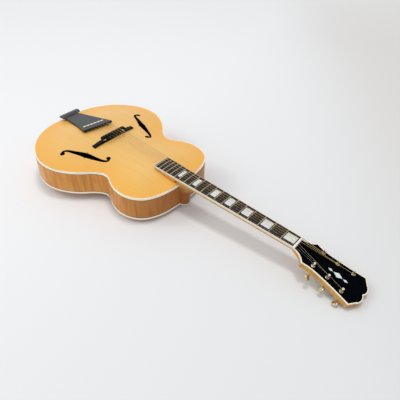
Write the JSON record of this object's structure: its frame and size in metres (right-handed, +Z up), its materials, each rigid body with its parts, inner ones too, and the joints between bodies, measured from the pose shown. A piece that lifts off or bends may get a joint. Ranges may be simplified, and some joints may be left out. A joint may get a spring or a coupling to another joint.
{
  "type": "archtop guitar",
  "caption": "Archtop acoustic guitar with carved top and back, f-shaped sound holes, geared tuners and a bridge whose saddle rises on thumbwheels.",
  "frame": {"origin": "middle of the footprint, on the floor the guitar lies on", "axes": "+Y from the tail toward the head, +Z up out of the top, +X toward the treble side"},
  "size_m": [0.4328, 1.0702, 0.1371],
  "materials": {
    "spruce_top": "clear gloss lacquer, amber blonde",
    "flamed_maple": "clear gloss lacquer over flamed maple",
    "inner_spruce": "bare sawn wood",
    "cream_binding": "polished",
    "ebony": "oiled, close-grained",
    "black_lacquer": "high gloss",
    "pearl": "mother-of-pearl lustre",
    "bone": "polished bone",
    "fret_wire": "polished",
    "rod_steel": "bare",
    "gold_metal": "gold plated, polished",
    "black_metal": "satin black",
    "nickel": "polished",
    "ball_brass": "bare",
    "wound_bronze": "wound bronze",
    "plain_steel": "drawn wire"
  },
  "bodies": {
    "guitar": {"back_binding": "cream_binding", "back_plate": "flamed_maple", "bridge_base": "ebony", "bridge_posts": "gold_metal", "end_block": "inner_spruce", "end_pin": "nickel", "fingerboard": "ebony", "fingerboard_binding": "cream_binding", "frets": "fret_wire", "head_binding": "cream_binding", "head_inlay": "pearl", "head_veneer": "black_lacquer", "heel_cap": "cream_binding", "kerfed_linings": "inner_spruce", "neck": "flamed_maple", "neck_block": "inner_spruce", "nut": "bone", "plain_strings": "plain_steel", "position_inlays": "pearl", "rim_bass": "flamed_maple", "rim_treble": "flamed_maple", "string_ball_ends": "ball_brass", "tailpiece": "ebony", "tailpiece_bracket": "black_metal", "tailpiece_cap": "black_metal", "tone_bars": "inner_spruce", "top_binding": "cream_binding", "top_plate": "spruce_top", "truss_rod": "rod_steel", "tuner_bushings": "gold_metal", "tuner_housings": "gold_metal", "wound_strings": "wound_bronze"},
    "button_1": {"tuner_button_1": "gold_metal", "tuner_worm_1": "gold_metal"},
    "post_1": {"tuner_post_1": "gold_metal", "tuner_gear_1": "gold_metal"},
    "button_2": {"tuner_button_2": "gold_metal", "tuner_worm_2": "gold_metal"},
    "post_2": {"tuner_post_2": "gold_metal", "tuner_gear_2": "gold_metal"},
    "button_3": {"tuner_button_3": "gold_metal", "tuner_worm_3": "gold_metal"},
    "post_3": {"tuner_post_3": "gold_metal", "tuner_gear_3": "gold_metal"},
    "button_4": {"tuner_button_4": "gold_metal", "tuner_worm_4": "gold_metal"},
    "post_4": {"tuner_post_4": "gold_metal", "tuner_gear_4": "gold_metal"},
    "button_5": {"tuner_button_5": "gold_metal", "tuner_worm_5": "gold_metal"},
    "post_5": {"tuner_post_5": "gold_metal", "tuner_gear_5": "gold_metal"},
    "button_6": {"tuner_button_6": "gold_metal", "tuner_worm_6": "gold_metal"},
    "post_6": {"tuner_post_6": "gold_metal", "tuner_gear_6": "gold_metal"},
    "saddle": {"bridge_saddle": "ebony"},
    "wheel_bass": {"thumbwheel_bass": "gold_metal"},
    "wheel_treble": {"thumbwheel_treble": "gold_metal"}
  },
  "joints": [
    {"name": "button_1_turn", "type": "hinge", "parent": "guitar", "child": "button_1", "pos_m": [0.04151, 0.40931, 0.03064], "axis": [1, 0, 0], "continuous": true},
    {"name": "post_1_turn", "type": "hinge", "parent": "guitar", "child": "post_1", "pos_m": [0.02651, 0.40927, 0.0531], "axis": [0, 0.2876, 0.9578], "continuous": true},
    {"name": "button_2_turn", "type": "hinge", "parent": "guitar", "child": "button_2", "pos_m": [0.04201, 0.44861, 0.01884], "axis": [1, 0, 0], "continuous": true},
    {"name": "post_2_turn", "type": "hinge", "parent": "guitar", "child": "post_2", "pos_m": [0.02701, 0.44857, 0.0413], "axis": [0, 0.2876, 0.9578], "continuous": true},
    {"name": "button_3_turn", "type": "hinge", "parent": "guitar", "child": "button_3", "pos_m": [0.0483, 0.48861, 0.00683], "axis": [1, 0, 0], "continuous": true},
    {"name": "post_3_turn", "type": "hinge", "parent": "guitar", "child": "post_3", "pos_m": [0.0333, 0.48857, 0.02929], "axis": [0, 0.2876, 0.9578], "continuous": true},
    {"name": "button_4_turn", "type": "hinge", "parent": "guitar", "child": "button_4", "pos_m": [-0.0483, 0.48861, 0.00683], "axis": [-1, 0, 0], "continuous": true},
    {"name": "post_4_turn", "type": "hinge", "parent": "guitar", "child": "post_4", "pos_m": [-0.0333, 0.48857, 0.02929], "axis": [0, 0.2876, 0.9578], "continuous": true},
    {"name": "button_5_turn", "type": "hinge", "parent": "guitar", "child": "button_5", "pos_m": [-0.04201, 0.44861, 0.01884], "axis": [-1, 0, 0], "continuous": true},
    {"name": "post_5_turn", "type": "hinge", "parent": "guitar", "child": "post_5", "pos_m": [-0.02701, 0.44857, 0.0413], "axis": [0, 0.2876, 0.9578], "continuous": true},
    {"name": "button_6_turn", "type": "hinge", "parent": "guitar", "child": "button_6", "pos_m": [-0.04151, 0.40931, 0.03064], "axis": [-1, 0, 0], "continuous": true},
    {"name": "post_6_turn", "type": "hinge", "parent": "guitar", "child": "post_6", "pos_m": [-0.02651, 0.40927, 0.0531], "axis": [0, 0.2876, 0.9578], "continuous": true},
    {"name": "saddle_lift", "type": "slide", "parent": "guitar", "child": "saddle", "axis": [0, 0.0473, 0.9989], "range_m": [-0.0015, 0.0025], "deforming": ["wound_strings", "plain_strings"]},
    {"name": "wheel_bass_turn", "type": "hinge", "parent": "saddle", "child": "wheel_bass", "pos_m": [-0.037, -0.2964, 0.12608], "axis": [0, 0.0473, 0.9989], "range_deg": [-685, 1135]},
    {"name": "wheel_treble_turn", "type": "hinge", "parent": "saddle", "child": "wheel_treble", "pos_m": [0.037, -0.2964, 0.12608], "axis": [0, 0.0473, 0.9989], "range_deg": [-685, 1135]}
  ],
  "couplings": [
    {"joint": "post_1_turn", "follows": "button_1_turn", "ratio": 0.071429},
    {"joint": "post_2_turn", "follows": "button_2_turn", "ratio": 0.071429},
    {"joint": "post_3_turn", "follows": "button_3_turn", "ratio": 0.071429},
    {"joint": "post_4_turn", "follows": "button_4_turn", "ratio": -0.071429},
    {"joint": "post_5_turn", "follows": "button_5_turn", "ratio": -0.071429},
    {"joint": "post_6_turn", "follows": "button_6_turn", "ratio": -0.071429},
    {"joint": "wheel_bass_turn", "follows": "saddle_lift", "rad_per_m": 7854},
    {"joint": "wheel_treble_turn", "follows": "saddle_lift", "rad_per_m": 7854}
  ]
}
